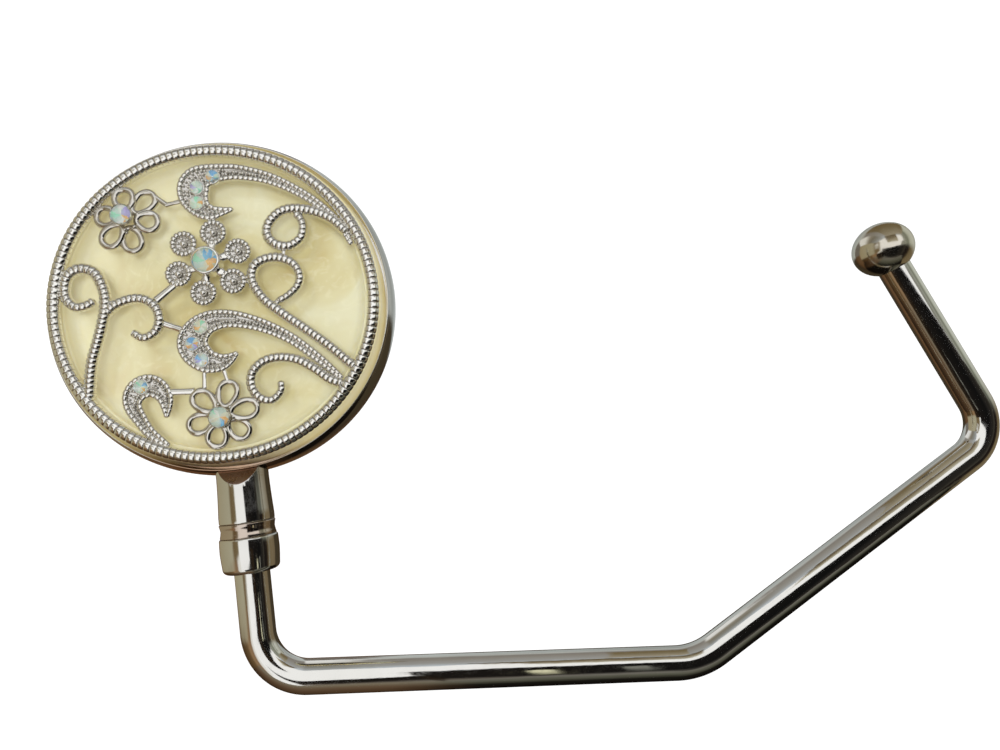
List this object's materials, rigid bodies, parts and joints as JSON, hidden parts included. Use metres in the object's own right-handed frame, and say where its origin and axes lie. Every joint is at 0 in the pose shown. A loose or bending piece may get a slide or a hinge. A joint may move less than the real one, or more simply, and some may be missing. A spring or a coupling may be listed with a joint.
{
  "type": "purse hook",
  "caption": "Table-top purse hook: round resin-inlaid medallion with floral openwork overlay, and a bent wire arm with a ball end that swivels on a socket to hold a bag under the table.",
  "frame": {"origin": "centre of the grip pad's underside, which lies on the table", "axes": "+Z is the medallion's face normal, the stem leaves towards -Y, the folded arm lies towards +X"},
  "size_m": [0.1284, 0.08, 0.0118],
  "materials": {
    "bright_plating": "bright rhodium-like plating, polished",
    "steel": "plain steel",
    "plated_bush": "plated bush with warm brown reflections",
    "ivory_resin": "pearly ivory poured resin, glossy",
    "grip_rubber": "matt non-slip rubber",
    "iridescent_crystal": "faceted crystal with an iridescent coat"
  },
  "bodies": {
    "head": {"grip_pad": "grip_rubber", "case_cup": "bright_plating", "resin_dish": "ivory_resin", "milled_ring": "bright_plating", "scroll_upper_right": "bright_plating", "scroll_right": "bright_plating", "scroll_lower_right": "bright_plating", "scroll_left": "bright_plating", "scroll_left_branch": "bright_plating", "plume_top": "bright_plating", "plume_middle": "bright_plating", "plume_bottom": "bright_plating", "flower_upper_left": "bright_plating", "flower_lower": "bright_plating", "flower_centre": "bright_plating", "stone_flower_upper_left": "iridescent_crystal", "stone_flower_lower": "iridescent_crystal", "stone_flower_centre": "iridescent_crystal", "stone_plume_top_1": "iridescent_crystal", "stone_plume_top_2": "iridescent_crystal", "stone_plume_top_3": "iridescent_crystal", "stone_plume_middle_1": "iridescent_crystal", "stone_plume_middle_2": "iridescent_crystal", "stone_plume_middle_3": "iridescent_crystal", "stone_plume_bottom_1": "iridescent_crystal", "socket_tube": "bright_plating", "neck_bush": "plated_bush"},
    "arm": {"arm_rod": "bright_plating", "swivel_collar": "bright_plating", "retaining_washer": "steel", "end_ball": "bright_plating"}
  },
  "joints": [
    {"name": "swivel", "type": "hinge", "parent": "head", "child": "arm", "pos_m": [0, -0.03055, 0.0044], "axis": [0, 1, 0], "continuous": true}
  ]
}
